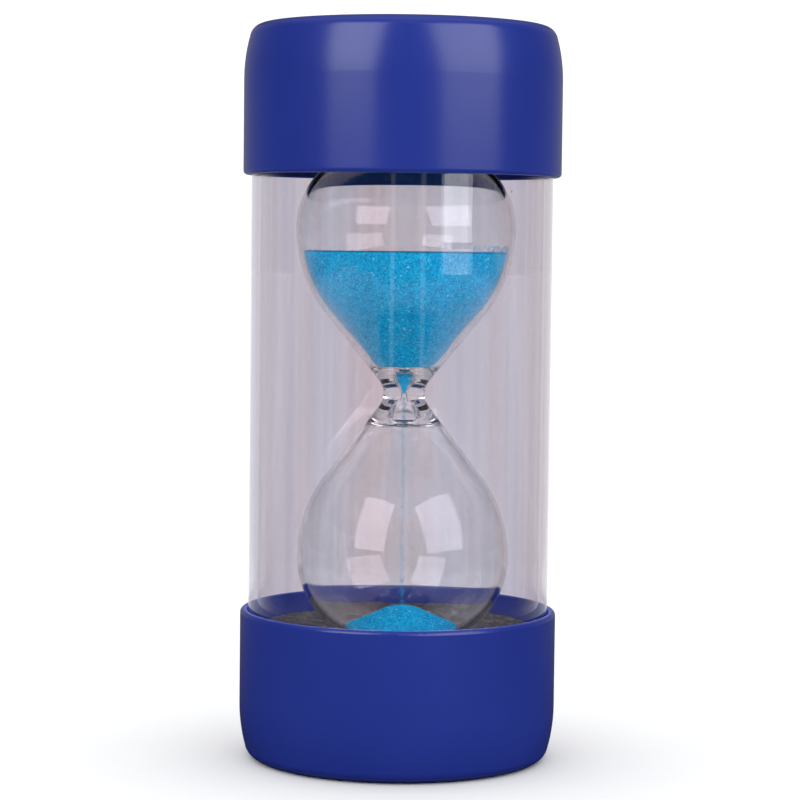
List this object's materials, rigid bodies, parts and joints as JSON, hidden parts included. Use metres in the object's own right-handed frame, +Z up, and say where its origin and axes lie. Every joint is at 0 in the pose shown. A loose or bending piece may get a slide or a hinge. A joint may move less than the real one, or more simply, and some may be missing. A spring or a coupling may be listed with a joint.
{
  "type": "hourglass sand timer",
  "caption": "Large sand timer: glass vial of coloured sand held in foam inside a clear guard tube, with thick rounded moulded plastic end caps to stand on either way up.",
  "frame": {"origin": "centre of the bottom cap's flat base, on the surface that the timer stands on", "axes": "+Z up along the timer's axis; the round body looks the same from every side"},
  "size_m": [0.0702, 0.0702, 0.162],
  "materials": {
    "cap_plastic": "royal blue moulded plastic, satin gloss",
    "clear_plastic": "clear extruded plastic, polished",
    "vial_glass": "clear blown glass",
    "foam": "dark grey recycled crumb foam",
    "sand": "fine dyed cyan-blue sand",
    "plug_rubber": "off-white soft stopper",
    "glue": "cured translucent adhesive"
  },
  "bodies": {
    "root": {"bottom_cap": "cap_plastic", "top_cap": "cap_plastic", "clear_tube": "clear_plastic", "glass_vial": "vial_glass", "foam_ring_bottom": "foam", "foam_ring_top": "foam", "foam_pad_bottom": "foam", "foam_pad_top": "foam", "upper_sand": "sand", "lower_sand": "sand", "sand_stream": "sand", "fill_plug": "plug_rubber", "glue_ring_bottom": "glue", "glue_ring_top": "glue"}
  },
  "joints": []
}
